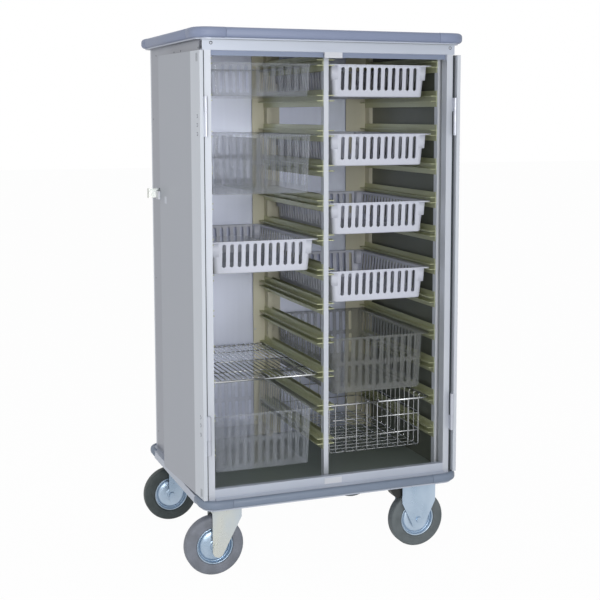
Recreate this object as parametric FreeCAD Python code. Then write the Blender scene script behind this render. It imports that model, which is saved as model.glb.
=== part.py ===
import FreeCAD, Part
import math
import os

os.makedirs("parts", exist_ok=True)
V = FreeCAD.Vector

# Driving dimensions, mm. X is the width, -Y the open front, Z up, floor at 0.
# The module baskets and the room round them give the width, depth and height.

# Runners and baskets, a 600 x 400 module
MODULE_W = 400.0        # basket over its rim
MODULE_D = 600.0
TIER = 117.5            # rise from one runner to the next
TIERS = range(-1, 11)   # twelve runner heights, 0 is the lowest with a basket
FLOOR_ROOM = 247.0      # rim on runner 0 over the floor panel
TOP_ROOM = 67.0         # rim on the top runner under the roof
RIM_T = 4.0             # basket rim
RIM_CUT = 15.0          # corner cut of a basket rim
RUN_WEB = 2.0           # runner web
RUN_LIP = 3.0           # runner lips
RUN_IN = 20.5           # runner lip width past the web
RUN_GAP = 15.0          # between a runner's lips
LEDGE_GAP = 0.3         # basket rim over the runner
SIDE_GAP = 1.5          # basket rim to runner web
TUB_IN = 25.0           # rim flange at the sides
TUB_FRONT = 8.0         # rim flange at the front and rear
TUB_TAPER = 8.0         # wall draft over the height, each side
TUB_WALL = 2.5
TUB_CUT = 12.0          # corner cut of a basket
TUB_LOW = 109.0         # 100 mm class basket height
TUB_HIGH = 198.0        # 200 mm class basket height
SLOT_W = 13.0
SLOT_PITCH = 28.0       # front slots
SIDE_PITCH = 68.0       # side slots
SIDE_START = 62.0       # first side slot behind the rim's front
SLOT_TOP = 9.0          # slot top under the rim
SLOT_FOOT = 22.0        # slot end over the basket floor
SLOT_BAND = 14.0        # between the two rows of a high basket
DIVIDER_T = 3.0
DIVIDER_GAP = 0.3       # divider to basket wall
DIVIDER_DROP = 12.0     # divider top under the rim
ACROSS_AT = 302.0       # cross divider behind the rim's front
ALONG_X = 28.5          # lengthwise divider from the basket's middle
WIRE = 3.5              # basket wire
RIM_WIRE = 7.0          # wire of the frames
WIRE_DEPTH = 180.0      # wire basket height
WIRE_IN = 12.0          # bent wires behind the frame's front
WIRE_PITCH = 40.0
WIRE_START = 24.0       # first crosswise wire behind the lengthwise wires' front
BAND_DROPS = (56.0, 118.0)
SHELF_PITCH = 19.0
SHELF_TIE = 168.0       # between the wires under the shelf

# Cart body
WHEEL_ROOM = 40.0       # base tray over the wheels
TRAY_H = 32.0           # base tray height
ROOF_H = 32.0           # roof tray height
TRAY_OUT_X = 11.0       # base tray stands out of the body, sides
ROOF_OUT_X = 21.0       # roof tray stands out of the body, sides
TRAY_OUT_Y = 21.0       # base tray stands out of the body, front and rear
ROOF_OUT_Y = 19.0       # roof tray stands out of the body, front and rear
TRAY_R = 46.0           # tray corner radius
SHEET = 3.0             # tray and sill sheet
SKIN = 1.5              # wall and door skins
BEAM_W = 132.0          # beams over the casters
BEAM_T = 4.0
BUMPER_T = 14.0         # bumper thickness
BUMPER_UP = 5.0         # base bumper over the tray's underside
BUMPER_OVER = 4.0       # base bumper over the tray's top
TOP_BUMPER_UP = 4.0     # top bumper over the roof's underside
TOP_BUMPER_OVER = 6.0   # top bumper over the roof's top
BUMPER_LEG = 105.0      # a corner bumper's length along each side
SEAM = 0.6              # between a corner bumper and a strip
WALL_T = 15.0           # double side wall
WALL_END = 12.0         # solid ends of a side wall
UPRIGHT_W = 22.0        # front upright, across
UPRIGHT_D = 38.0        # front upright, deep
UPRIGHT_T = 2.0
REBATE = 6.0            # side rebate for the hinge leaves
HEADER_H = 33.0         # rail over the doors
RAIL_D = 20.0           # rail and sill, front to rear
STOP_SET = 12.0         # door stop behind the frame face
STOP_H = 17.0           # door stop under the rail
SILL_H = 35.0           # rail under the doors
SILL_SLOPE = 17.0       # the sill's foot in front of the frame face
FLOOR_T = 5.0           # floor panel
REAR_T = 3.0            # rear panel
REAR_IN = 9.0           # rear panel's front from the back of the cart
REAR_POST = 12.0        # rear corner post, outer leg
REAR_LEG = 27.0         # rear corner post along the side wall
REAR_LAP = 34.0         # rear panel's edge in from the wall
POST_W = 17.0           # centre runner post
SIDE_POST_W = 14.5      # runner post at a side wall
POST_T = 2.0
POST_D = 25.0           # front runner posts, front to rear
POST_SET = 65.0         # runner posts behind the door frame face
REAR_POST_D = 39.0      # rear runner posts, in front of their flanges
FLANGE_T = 4.0
FLANGE_W = 46.5         # flanges of the centre post
FLANGE_SIDE = 97.0      # side post with its flange, from the wall
RIM_BACK = 5.0          # basket rims behind the front runner posts
FLANGE_GAP = 1.0        # basket rims to the rear posts' flanges
REAR_ROOM = 18.0        # flanges to the back of the cart

# Doors
DOOR_T = 12.0
DOOR_GAP = 1.0          # door to frame face
DOOR_FOOT = 7.0         # door over the base tray
DOOR_HEAD = 2.0         # door under the header rail
DOOR_MEET = 1.5         # door edge to the middle
LEAF_AIR = 1.0          # door's hinge edge to the body's hinge leaf
STILE_W = 90.0
STILE_T = 2.0
FREE_EDGE = 13.0        # solid free edge of a door
CAP_H = 10.0
DOOR_R = 12.0           # free corners of a door
AXIS_IN = 5.0           # hinge axis in from the wall face
BARREL_AIR = 0.5        # hinge barrel to the door's face
OPEN_DEG = 266.6        # closed to folded back
LEAF_T = 3.0            # hinge leaves
LEAF_W = 40.0           # door leaf along the door
BARREL_R = 6.5
PIN_R = 4.0
PIN_FIT = 0.05          # radial clearance on every pin and axle
KNUCKLE_GAP = 1.0
UPPER_DOWN = (271.0, 191.0, 144.0)  # upper hinge's knuckle ends under the door's top
LOWER_UP = (150.0, 199.0, 280.0)    # lower hinge's knuckle ends over the door's foot
LOCK_UP = 958.0         # lock over the door's foot
LOCK_IN = 63.0          # lock in from the free edge
LOCK_R = 12.0
SPINDLE_R = 5.0
KNOB_T = 14.0
CATCH_UP = 977.0        # hold-back catch over the door's foot
CATCH_OUT = 77.0        # catch bracket out of the wall
CATCH_FOOT = 40.0       # its foot along the wall
CATCH_LIP = 25.0        # its lip beside the pad
PAD_X = 27.0            # catch pad out of the wall
PAD_W = 19.0
PAD_GAP = 1.6           # catch pad to the folded door's edge
PAD_LONG = 32.0
KEEPER_W = 63.0
KEEPER_H = 19.0
KEEPER_FIT = 0.2
POCKET_UP = 2.0         # keeper's pocket in the sill over the door's foot
POCKET_H = 21.0

# Casters
WHEEL_R = 100.0
WHEEL_W = 45.0
RIM_R = 62.5
RIM_EDGE = 3.5          # tyre wider than the rim, each side
DISH_R = 51.0           # dished part of a rim
RIM_WEB = 12.0          # rim web
HUB_R = 16.0
HUB_GAP = 1.0           # hub to fork cheek
AXLE_R = 6.0
NUT_OVER = 5.0          # hexagon nuts over the axle and kingpin radius
FORK_IN = 28.0          # wheel plane to the inside of a fork cheek
CHEEK_T = 4.0
CROWN_R = 30.0
CROWN_DOWN = 18.0       # top of a swivel fork under the tray
FORK_TOP_T = 6.0
SWIVEL_IN = 100.0       # kingpin in from the wall face
FIXED_IN = 105.0        # fixed axle in from the wall face
CASTER_SET = 62.0       # wheel plane in from the front and the back of the cart
TRAIL = 62.0
PLATE_T = 6.0
PLATE_D = 104.0         # caster plate, front to rear
KING_R = 10.0
KING_DOWN = 32.0        # kingpin's end under the tray
BRAKE_IN = 48.0         # brake pivot inward of the fixed axle
BRAKE_DOWN = 24.0       # brake pivot under the tray

# Derived
BASE_Z = 2 * WHEEL_R + WHEEL_ROOM
TRAY_Z = BASE_Z + TRAY_H
FLOOR_Z = TRAY_Z + FLOOR_T
RIM_0 = FLOOR_Z + FLOOR_ROOM
ROOF_Z = RIM_0 + TIER * TIERS[-1] + TOP_ROOM
TOP_Z = ROOF_Z + ROOF_H
HEAD_Z = ROOF_Z - HEADER_H
HALF_D = (POST_SET + POST_D + RIM_BACK + MODULE_D + FLANGE_GAP + REAR_ROOM) / 2
FACE_Y = -HALF_D
POST_Y = FACE_Y + POST_SET
RIM_Y = POST_Y + POST_D + RIM_BACK
RIM_Y1 = RIM_Y + MODULE_D
FLANGE_Y = RIM_Y1 + FLANGE_GAP
UP_Y1 = FACE_Y + UPRIGHT_D
HALF_POST = POST_W / 2
WEB_C = HALF_POST + RUN_WEB
COL_X = WEB_C + SIDE_GAP + MODULE_W / 2
WEB_W = COL_X + MODULE_W / 2 + SIDE_GAP
SIDE_POST = WEB_W + RUN_WEB
WALL_X = SIDE_POST + SIDE_POST_W
HALF_W = WALL_X + WALL_T
UP_X1 = HALF_W - REBATE
UP_X0 = UP_X1 - UPRIGHT_W
REAR_X = WALL_X - REAR_LAP
DOOR_Y1 = FACE_Y - DOOR_GAP
DOOR_Y0 = DOOR_Y1 - DOOR_T
DOOR_Z0 = TRAY_Z + DOOR_FOOT
DOOR_Z1 = HEAD_Z - DOOR_HEAD
DOOR_X1 = UP_X1 - LEAF_AIR
STILE_X = DOOR_X1 - STILE_W
LOCK_X = DOOR_MEET + LOCK_IN
LOCK_Z = DOOR_Z0 + LOCK_UP
CATCH_Z = DOOR_Z0 + CATCH_UP
AXIS_X = HALF_W - AXIS_IN
AXIS_Y = DOOR_Y0 - BARREL_R - BARREL_AIR
BORE_R = PIN_R + PIN_FIT
UPPER = [DOOR_Z1 - down for down in UPPER_DOWN]
LOWER = [DOOR_Z0 + up for up in LOWER_UP]
CASTER_X = HALF_W - SWIVEL_IN
FIXED_X = HALF_W - FIXED_IN
CASTER_Y = HALF_D - CASTER_SET
BRAKE_X = FIXED_X - BRAKE_IN
BRAKE_Z = BASE_Z - BRAKE_DOWN
PLATE_Z = BASE_Z - PLATE_T


def box(x0, x1, y0, y1, z0, z1):
    return Part.makeBox(x1 - x0, y1 - y0, z1 - z0, V(x0, y0, z0))


def flip(shape):
    return shape.mirror(V(0, 0, 0), V(1, 0, 0))


def back(shape):
    return shape.mirror(V(0, 0, 0), V(0, 1, 0))


def face(points):
    return Part.Face(Part.makePolygon([V(*p) for p in points + points[:1]]))


def bar_z(points, z0, z1):
    return face([(x, y, z0) for x, y in points]).extrude(V(0, 0, z1 - z0))


def bar_y(points, y0, y1):
    return face([(x, y0, z) for x, z in points]).extrude(V(0, y1 - y0, 0))


def bar_x(points, x0, x1):
    return face([(x0, y, z) for y, z in points]).extrude(V(x1 - x0, 0, 0))


def save(name, solids):
    shape = solids[0] if len(solids) == 1 else Part.makeCompound(solids)
    shape.exportStep("parts/" + name + ".step")


def slab(hx, hy, r, z0, z1):
    block = box(-hx, hx, -hy, hy, z0, z1)
    upright = [e for e in block.Edges if abs(e.BoundBox.ZLength - (z1 - z0)) < 1e-6]
    return block.makeFillet(r, upright)


def tray(hx, hy, z0, z1):
    inner = slab(hx - SHEET, hy - SHEET, TRAY_R - SHEET, z0 - 1, z1 - SHEET)
    return slab(hx, hy, TRAY_R, z0, z1).cut(inner)


def base_tray():
    hx = HALF_W + TRAY_OUT_X
    hy = HALF_D + TRAY_OUT_Y
    shape = tray(hx, hy, BASE_Z, TRAY_Z)
    for x in (-CASTER_X, FIXED_X):
        beam = box(x - BEAM_W / 2, x + BEAM_W / 2, SHEET - hy, hy - SHEET, BASE_Z, TRAY_Z - SHEET)
        room_x = BEAM_W / 2 - BEAM_T
        room = box(x - room_x, x + room_x, -hy, hy, BASE_Z + SHEET, TRAY_Z)
        shape = shape.fuse(beam.cut(room))
    reach = hy + BUMPER_T - BUMPER_LEG - 0.5
    side = box(hx, hx + BUMPER_T - SHEET, -reach, reach, BASE_Z + BUMPER_UP, TRAY_Z)
    shape = shape.fuse(side).fuse(flip(side))
    save("base_tray", [shape.removeSplitter()])


def bumpers(name, hx, hy, z0, z1, all_round):
    ring = slab(hx + BUMPER_T, hy + BUMPER_T, TRAY_R + BUMPER_T, z0, z1)
    ring = ring.cut(slab(hx, hy, TRAY_R, z0 - 1, z1 + 1))
    cut_x = hx + BUMPER_T - BUMPER_LEG
    cut_y = hy + BUMPER_T - BUMPER_LEG
    corner = ring.common(box(cut_x, hx + BUMPER_T, cut_y, hy + BUMPER_T, z0, z1))
    right = [corner, back(corner)]
    save(name + "_corners", right + [flip(s) for s in right])
    end = box(SEAM - cut_x, cut_x - SEAM, -hy - BUMPER_T + 1, -hy, z0 + 1, z1 - 1)
    strips = [end, back(end)]
    if all_round:
        side = box(hx, hx + BUMPER_T - 1, SEAM - cut_y, cut_y - SEAM, z0 + 1, z1 - 1)
        strips += [side, flip(side)]
    save(name + "_strips", strips)


def floor_panel():
    main = box(-WALL_X, WALL_X, UP_Y1, HALF_D - REAR_POST, TRAY_Z, FLOOR_Z)
    front = box(-UP_X0, UP_X0, FACE_Y + RAIL_D, UP_Y1, TRAY_Z, FLOOR_Z)
    save("floor_panel", [main.fuse(front).removeSplitter()])


def front_sill():
    y = FACE_Y
    back_y = y + RAIL_D
    top = TRAY_Z + SILL_H
    line = [(y - SILL_SLOPE, TRAY_Z), (y, DOOR_Z0), (y, top), (back_y, top)]
    line += [(back_y, top - SHEET), (y + SHEET, top - SHEET)]
    line += [(y + SHEET, TRAY_Z + SHEET), (back_y, TRAY_Z + SHEET), (back_y, TRAY_Z)]
    shape = bar_x(line, -UP_X0, UP_X0)
    hole = KEEPER_W / 2 + KEEPER_FIT
    low = DOOR_Z0 + POCKET_UP
    shape = shape.cut(box(-hole, hole, y - 1, y + SHEET + 1, low, low + POCKET_H))
    save("front_sill", [shape])


def front_uprights():
    tube = box(UP_X0, UP_X1, FACE_Y, UP_Y1, TRAY_Z, HEAD_Z)
    w = UPRIGHT_T
    room = box(UP_X0 + w, UP_X1 - w, FACE_Y + w, UP_Y1 - w, TRAY_Z - 1, HEAD_Z + 1)
    post = tube.cut(room)
    save("front_uprights", [post, flip(post)])


def rear_corner_posts():
    y = HALF_D
    leg = REAR_POST
    line = [(REAR_X, y), (REAR_X, y - leg), (WALL_X, y - leg), (WALL_X, y - REAR_LEG)]
    line += [(HALF_W, y - REAR_LEG), (HALF_W, y - leg), (HALF_W - 3.5, y - 3.5), (HALF_W - leg, y)]
    post = bar_z(line, TRAY_Z, ROOF_Z)
    save("rear_corner_posts", [post, flip(post)])


def header_rail():
    y = FACE_Y
    back_y = y + RAIL_D
    line = [(y, HEAD_Z), (y, ROOF_Z), (back_y, ROOF_Z), (back_y, ROOF_Z - SHEET)]
    line += [(y + SHEET, ROOF_Z - SHEET), (y + SHEET, HEAD_Z + SHEET)]
    line += [(back_y, HEAD_Z + SHEET), (back_y, HEAD_Z)]
    rail = bar_x(line, -HALF_W, HALF_W)
    stop_y = y + STOP_SET
    stop = box(-UP_X0 + 0.5, UP_X0 - 0.5, stop_y, stop_y + SHEET, HEAD_Z - STOP_H, HEAD_Z + 1)
    save("header_rail", [rail.fuse(stop).removeSplitter()])


def side_panels():
    y1 = HALF_D - REAR_LEG
    wall = box(WALL_X, HALF_W, UP_Y1, y1, TRAY_Z, ROOF_Z)
    room = box(WALL_X + SKIN, HALF_W - SKIN, UP_Y1 + WALL_END, y1 - WALL_END, TRAY_Z - 1, ROOF_Z + 1)
    wall = wall.cut(room)
    save("side_panels", [wall, flip(wall)])


def rear_panel():
    y = HALF_D - REAR_IN
    save("rear_panel", [box(-REAR_X, REAR_X, y, y + REAR_T, TRAY_Z, ROOF_Z)])


def roof():
    hx = HALF_W + ROOF_OUT_X
    hy = HALF_D + ROOF_OUT_Y
    save("roof_panel", [tray(hx, hy, ROOF_Z, TOP_Z)])
    save("ceiling_panel", [slab(hx - SHEET, hy - SHEET, TRAY_R - SHEET, ROOF_Z, ROOF_Z + 4)])


def front_posts():
    z0 = FLOOR_Z
    y1 = POST_Y + POST_D
    w = POST_T
    mid = box(-HALF_POST, HALF_POST, POST_Y, y1, z0, ROOF_Z)
    mid = mid.cut(box(w - HALF_POST, HALF_POST - w, POST_Y + w, y1 - w, z0 - 1, ROOF_Z + 1))
    side = box(SIDE_POST, WALL_X, POST_Y, y1, z0, ROOF_Z)
    side = side.cut(box(SIDE_POST + w, WALL_X - w, POST_Y + w, y1 - w, z0 - 1, ROOF_Z + 1))
    save("front_posts", [mid, side, flip(side)])


def rear_posts():
    y0 = FLANGE_Y - REAR_POST_D
    y1 = FLANGE_Y + FLANGE_T
    w = POST_T
    flange = HALF_POST + FLANGE_W
    hat = [(-flange, y1), (-flange, FLANGE_Y), (-HALF_POST, FLANGE_Y), (-HALF_POST, y0)]
    hat += [(HALF_POST, y0), (HALF_POST, FLANGE_Y), (flange, FLANGE_Y), (flange, y1)]
    hat += [(HALF_POST - w, y1), (HALF_POST - w, y0 + w)]
    hat += [(w - HALF_POST, y0 + w), (w - HALF_POST, y1)]
    mid = bar_z(hat, FLOOR_Z, ROOF_Z)
    edge = WALL_X - FLANGE_SIDE
    ell = [(edge, y1), (edge, FLANGE_Y), (SIDE_POST, FLANGE_Y)]
    ell += [(SIDE_POST, y0), (WALL_X, y0), (WALL_X, y1)]
    ell += [(WALL_X - w, y1), (WALL_X - w, y0 + w)]
    ell += [(SIDE_POST + w, y0 + w), (SIDE_POST + w, y1)]
    side = bar_z(ell, FLOOR_Z, ROOF_Z)
    save("rear_posts", [mid, side, flip(side)])


def rim_z(tier):
    return RIM_0 + TIER * tier


def runner(web_x, side, tier):
    out = web_x - side * RUN_WEB
    tip = web_x + side * RUN_IN
    z0 = rim_z(tier) - RIM_T - LEDGE_GAP - RUN_LIP
    z1 = z0 + RUN_LIP
    z2 = z1 + RUN_GAP
    z3 = z2 + RUN_LIP
    line = [(out, z0), (tip, z0), (tip, z1), (web_x, z1)]
    line += [(web_x, z2), (tip, z2), (tip, z3), (out, z3)]
    return bar_y(line, POST_Y + 5, FLANGE_Y - 2)


def runners():
    centre = [runner(WEB_C, 1, k) for k in TIERS]
    wall = [runner(WEB_W, -1, k) for k in TIERS]
    save("centre_runners", centre + [flip(s) for s in centre])
    save("wall_runners", wall + [flip(s) for s in wall])


def barrel(z0, z1):
    return Part.makeCylinder(BARREL_R, z1 - z0, V(AXIS_X, AXIS_Y, z0))


def pin_hole(z0, z1):
    return Part.makeCylinder(BORE_R, z1 - z0 + 2, V(AXIS_X, AXIS_Y, z0 - 1))


def body_leaf(z0, z1):
    plate = box(UP_X1, UP_X1 + LEAF_T, AXIS_Y, UP_Y1 - 3, z0, z1)
    return barrel(z0, z1).fuse(plate).cut(pin_hole(z0, z1))


def door_leaf(z0, z1):
    plate = box(DOOR_X1 - LEAF_W, DOOR_X1, DOOR_Y0 - LEAF_T, DOOR_Y0, z0, z1)
    web = box(AXIS_X - 6, AXIS_X, AXIS_Y, DOOR_Y0, z0, z1)
    return barrel(z0, z1).fuse(plate).fuse(web).cut(pin_hole(z0, z1)).removeSplitter()


def hinges():
    upper = body_leaf(UPPER[1] + KNUCKLE_GAP, UPPER[2])
    lower = body_leaf(LOWER[0], LOWER[1])
    save("body_hinge_leaves", [upper, lower, flip(upper), flip(lower)])
    pins = []
    for z0, z1 in ((UPPER[0], UPPER[2]), (LOWER[0], LOWER[2])):
        pins.append(Part.makeCylinder(PIN_R, z1 - z0, V(AXIS_X, AXIS_Y, z0)))
    save("hinge_pins", pins + [flip(s) for s in pins])
    leaves = [door_leaf(UPPER[0], UPPER[1]), door_leaf(LOWER[1] + KNUCKLE_GAP, LOWER[2])]
    save_door("door_hinge_leaves", leaves)


def folded(shape):
    turned = shape.copy()
    turned.rotate(V(AXIS_X, AXIS_Y, 0), V(0, 0, 1), OPEN_DEG)
    return turned


def save_door(name, solids):
    right = [folded(s) for s in solids]
    save("right_" + name, right)
    save("left_" + name, [flip(s) for s in right])


def along_y(r, x, y0, y1, z):
    return Part.makeCylinder(r, y1 - y0, V(x, y0, z), V(0, 1, 0))


def door_panel(lock):
    skin = box(DOOR_MEET, STILE_X, DOOR_Y0, DOOR_Y1, DOOR_Z0, DOOR_Z1)
    free = [e for e in skin.Edges
            if e.BoundBox.XMax < DOOR_MEET + 0.1 and e.BoundBox.YLength > DOOR_T - 0.1]
    shape = skin.makeFillet(DOOR_R, free)
    room = box(DOOR_MEET + FREE_EDGE, STILE_X + 1, DOOR_Y0 + SKIN, DOOR_Y1 - SKIN,
               DOOR_Z0 + 2, DOOR_Z1 - 2)
    shape = shape.cut(room)
    if lock:
        x0, x1 = LOCK_X - LOCK_R, LOCK_X + LOCK_R
        z0, z1 = LOCK_Z - LOCK_R, LOCK_Z + LOCK_R
        shape = shape.cut(box(x0, x1, DOOR_Y0 - 1, DOOR_Y1 + 1, z0, z1))
    return shape


def doors():
    save("right_door_panel", [folded(door_panel(False))])
    save("left_door_panel", [flip(folded(door_panel(True)))])
    tube = box(STILE_X, DOOR_X1, DOOR_Y0, DOOR_Y1, DOOR_Z0, DOOR_Z1)
    x0, x1 = STILE_X + STILE_T, DOOR_X1 - STILE_T
    y0, y1 = DOOR_Y0 + STILE_T, DOOR_Y1 - STILE_T
    save_door("door_stile", [tube.cut(box(x0, x1, y0, y1, DOOR_Z0 - 1, DOOR_Z1 + 1))])
    ends = ((DOOR_Z0, DOOR_Z0 + CAP_H), (DOOR_Z1 - CAP_H, DOOR_Z1))
    caps = [box(x0, x1, y0, y1, z0, z1) for z0, z1 in ends]
    save_door("door_end_caps", caps)


def lock():
    x = LOCK_X
    z = LOCK_Z
    r = LOCK_R
    body = box(x - r, x + r, DOOR_Y0, DOOR_Y1, z - r, z + r)
    body = body.cut(along_y(SPINDLE_R + PIN_FIT, x, DOOR_Y0 - 1, DOOR_Y1 + 1, z))
    save("lock_barrel", [flip(folded(body))])
    knob = along_y(SPINDLE_R, x, DOOR_Y0 - 2, DOOR_Y1 + 0.8, z)
    wing = [(x - 9, z - 14), (x + 9, z - 14), (x + 5, z), (x + 9, z + 14), (x - 9, z + 14), (x - 5, z)]
    knob = knob.fuse(bar_y(wing, DOOR_Y0 - KNOB_T, DOOR_Y0 - 0.4))
    save("lock_knob", [flip(folded(knob))])


def door_catches():
    edge = folded(box(DOOR_MEET, LOCK_X, DOOR_Y0, DOOR_Y1, CATCH_Z, CATCH_Z + 1)).BoundBox.YMax
    pad_y = edge + PAD_GAP
    plate_y = pad_y + PAD_LONG
    end_x = HALF_W + CATCH_OUT
    z0 = CATCH_Z - 16
    z1 = CATCH_Z + 17
    plate = box(HALF_W, end_x, plate_y, plate_y + SHEET, z0, z1)
    foot = box(HALF_W, HALF_W + SHEET, plate_y, plate_y + CATCH_FOOT, z0, z1)
    lip = box(end_x - SHEET, end_x, plate_y - CATCH_LIP, plate_y, z0, z1)
    bracket = plate.fuse(foot).fuse(lip).removeSplitter()
    save("door_catch_brackets", [bracket, flip(bracket)])
    pad_x = HALF_W + PAD_X
    pad = box(pad_x, pad_x + PAD_W, pad_y, plate_y, CATCH_Z - 21, CATCH_Z + 7)
    save("door_catch_pads", [pad, flip(pad)])


def door_keepers():
    y = FACE_Y - 0.5
    half = KEEPER_W / 2
    stop_y = FACE_Y + STOP_SET
    z0 = HEAD_Z - KEEPER_H
    line = [(y, z0), (y, HEAD_Z), (stop_y, HEAD_Z), (stop_y, HEAD_Z - 4), (y + 4, HEAD_Z - 4), (y + 4, z0)]
    top = bar_x(line, -half, half)
    low_z = DOOR_Z0 + POCKET_UP + KEEPER_FIT
    low = box(-half, half, FACE_Y - 0.4, FACE_Y + SHEET, low_z, low_z + POCKET_H - 2 * KEEPER_FIT)
    save("door_keepers", [top, low])


def tub_ring(hx, y0, y1, c, z):
    line = [(c - hx, y0), (hx - c, y0), (hx, y0 + c), (hx, y1 - c)]
    line += [(hx - c, y1), (c - hx, y1), (-hx, y1 - c), (-hx, y0 + c)]
    return Part.makePolygon([V(x, y, z) for x, y in line + line[:1]])


def tub_body(inset, z_low, z_top, rim, drop):
    # The wall line at any height, so that skins and dividers share one taper
    def wire(z):
        t = TUB_TAPER * (rim - z) / drop + inset
        return tub_ring(MODULE_W / 2 - TUB_IN - t, RIM_Y + TUB_FRONT + t,
                        RIM_Y1 - TUB_FRONT - t, TUB_CUT, z)
    return Part.makeLoft([wire(z_low), wire(z_top)], True, True)


def slot_rows(drop):
    z1 = -SLOT_TOP
    z0 = SLOT_FOOT - drop
    if drop < TUB_HIGH:
        return [(z0, z1)]
    mid = (z0 + z1) / 2
    return [(z0, mid - SLOT_BAND / 2), (mid + SLOT_BAND / 2, z1)]


def basket(tier, drop):
    z = rim_z(tier)
    half = MODULE_W / 2
    w = SLOT_W / 2
    rim = Part.Face(tub_ring(half, RIM_Y, RIM_Y1, RIM_CUT, z - RIM_T)).extrude(V(0, 0, RIM_T))
    shape = rim.fuse(tub_body(0, z - drop, z, z, drop))
    shape = shape.cut(tub_body(TUB_WALL, z - drop + TUB_WALL, z + 1, z, drop))
    front = int((half - TUB_IN - TUB_TAPER - TUB_CUT - w) / SLOT_PITCH)
    side = int((MODULE_D - 2 * SIDE_START) / SIDE_PITCH)
    cuts = []
    for z0, z1 in slot_rows(drop):
        for i in range(-front, front + 1):
            x = i * SLOT_PITCH
            cuts.append(box(x - w, x + w, RIM_Y, RIM_Y + 30, z + z0, z + z1))
        for i in range(side + 1):
            y = RIM_Y + SIDE_START + i * SIDE_PITCH
            cuts.append(box(-half, half, y - w, y + w, z + z0, z + z1))
    return shape.cut(cuts).removeSplitter()


def shift(shape, x):
    moved = shape.copy()
    moved.translate(V(x, 0, 0))
    return moved


def baskets():
    for i, (tier, drop) in enumerate([(10, TUB_LOW), (8, TUB_LOW), (6, TUB_LOW),
                                      (4, TUB_LOW), (2, TUB_HIGH)]):
        save("right_basket_%d" % (i + 1), [shift(basket(tier, drop), COL_X)])
    for i, (tier, drop) in enumerate([(10, TUB_LOW), (8, TUB_HIGH), (5, TUB_LOW), (0, TUB_HIGH)]):
        save("left_basket_%d" % (i + 1), [shift(basket(tier, drop), -COL_X)])


def divider(tier, drop, x0, x1, y0, y1):
    # A flat plate that follows the basket's walls
    z = rim_z(tier)
    shape = tub_body(TUB_WALL + DIVIDER_GAP, z - drop + TUB_WALL, z - DIVIDER_DROP, z, drop)
    return shift(shape.common(box(x0, x1, y0, y1, z - drop, z)), -COL_X)


def dividers():
    t = DIVIDER_T
    half = MODULE_W / 2
    save("left_basket_2_divider", [divider(8, TUB_HIGH, -t / 2, t / 2, RIM_Y, RIM_Y1)])
    y = RIM_Y + ACROSS_AT
    across = divider(5, TUB_LOW, -half, half, y, y + t)
    along = divider(5, TUB_LOW, ALONG_X, ALONG_X + t, RIM_Y, y - DIVIDER_GAP)
    save("left_basket_3_dividers", [across, along])


def loop(hx, y0, y1, z0, w):
    # A square of wire as four straight bars
    front = box(-hx, hx, y0, y0 + w, z0, z0 + w)
    rear = box(-hx, hx, y1 - w, y1, z0, z0 + w)
    side = box(hx - w, hx, y0 + w, y1 - w, z0, z0 + w)
    return [front, rear, side, flip(side)]


def frame_loop(z0):
    return loop(MODULE_W / 2 - 1, RIM_Y, RIM_Y1, z0, RIM_WIRE)


def wire_shelf():
    z0 = rim_z(1) - RIM_T
    w = WIRE
    inside = MODULE_W / 2 - 1 - RIM_WIRE
    solids = frame_loop(z0)
    middle = RIM_Y + MODULE_D / 2
    for y in (middle - SHELF_TIE, middle, middle + SHELF_TIE):
        solids.append(box(-inside, inside, y, y + w, z0 + RIM_WIRE - w, z0 + RIM_WIRE))
    z1 = z0 + RIM_WIRE
    count = int((inside - WIRE_IN) / SHELF_PITCH)
    for i in range(-count, count + 1):
        x = i * SHELF_PITCH
        solids.append(box(x - w / 2, x + w / 2, RIM_Y + 2, RIM_Y1 - 2, z1, z1 + w))
    save("wire_shelf", [shift(s, -COL_X) for s in solids])


def bent_wire(a0, a1, lip0, lip1, top, low, t):
    # One bent wire in five straights: an ear, down, across, up and an ear
    legs = [(a0, a0 + t, low, top), (a0 + t, a1 - t, low, low + t), (a1 - t, a1, low, top)]
    return [(lip0, a0, top - t, top)] + legs + [(a1, lip1, top - t, top)]


def wire_basket():
    z0 = rim_z(0) - RIM_T
    w = WIRE
    half = MODULE_W / 2 - TUB_IN
    y0 = RIM_Y + WIRE_IN
    y1 = RIM_Y1 - WIRE_IN
    ear = MODULE_W / 2 - 1
    top = z0 + RIM_WIRE + w
    low = rim_z(0) - WIRE_DEPTH
    solids = frame_loop(z0)
    across = int((y1 - y0 - 2 * WIRE_START) / WIRE_PITCH)
    for i in range(across + 1):
        y = y0 + WIRE_START + i * WIRE_PITCH
        for x0, x1, z1, z2 in bent_wire(-half, half, -ear, ear, top, low, w):
            solids.append(box(x0, x1, y, y + w, z1, z2))
    along = int((half - WIRE_IN) / WIRE_PITCH)
    for i in range(-along, along + 1):
        x = i * WIRE_PITCH - w / 2
        for y2, y3, z1, z2 in bent_wire(y0, y1, RIM_Y + 1, RIM_Y1 - 1, top, low + w, w):
            solids.append(box(x, x + w, y2, y3, z1, z2))
    for drop in BAND_DROPS:
        solids += loop(half - w, y0 + w, y1 - w, z0 - drop, w)
    save("wire_basket", [shift(s, COL_X) for s in solids])


def sided(n, r, u, v):
    turns = [2 * math.pi * i / n for i in range(n)]
    return [(u + r * math.cos(a), v + r * math.sin(a)) for a in turns]


def axle(x):
    out = FORK_IN + CHEEK_T
    rod = along_y(AXLE_R, x, -out - 1, out + 1, WHEEL_R)
    nut = bar_y(sided(6, AXLE_R + NUT_OVER, x, WHEEL_R), out, out + 6)
    return rod.fuse(nut).fuse(back(nut))


def cheeks(line):
    cheek = bar_y(line, FORK_IN, FORK_IN + CHEEK_T)
    return cheek.fuse(back(cheek))


def caster_plate(x):
    return box(x - BEAM_W / 2, x + BEAM_W / 2, -PLATE_D / 2, PLATE_D / 2, PLATE_Z, BASE_Z)


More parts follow.
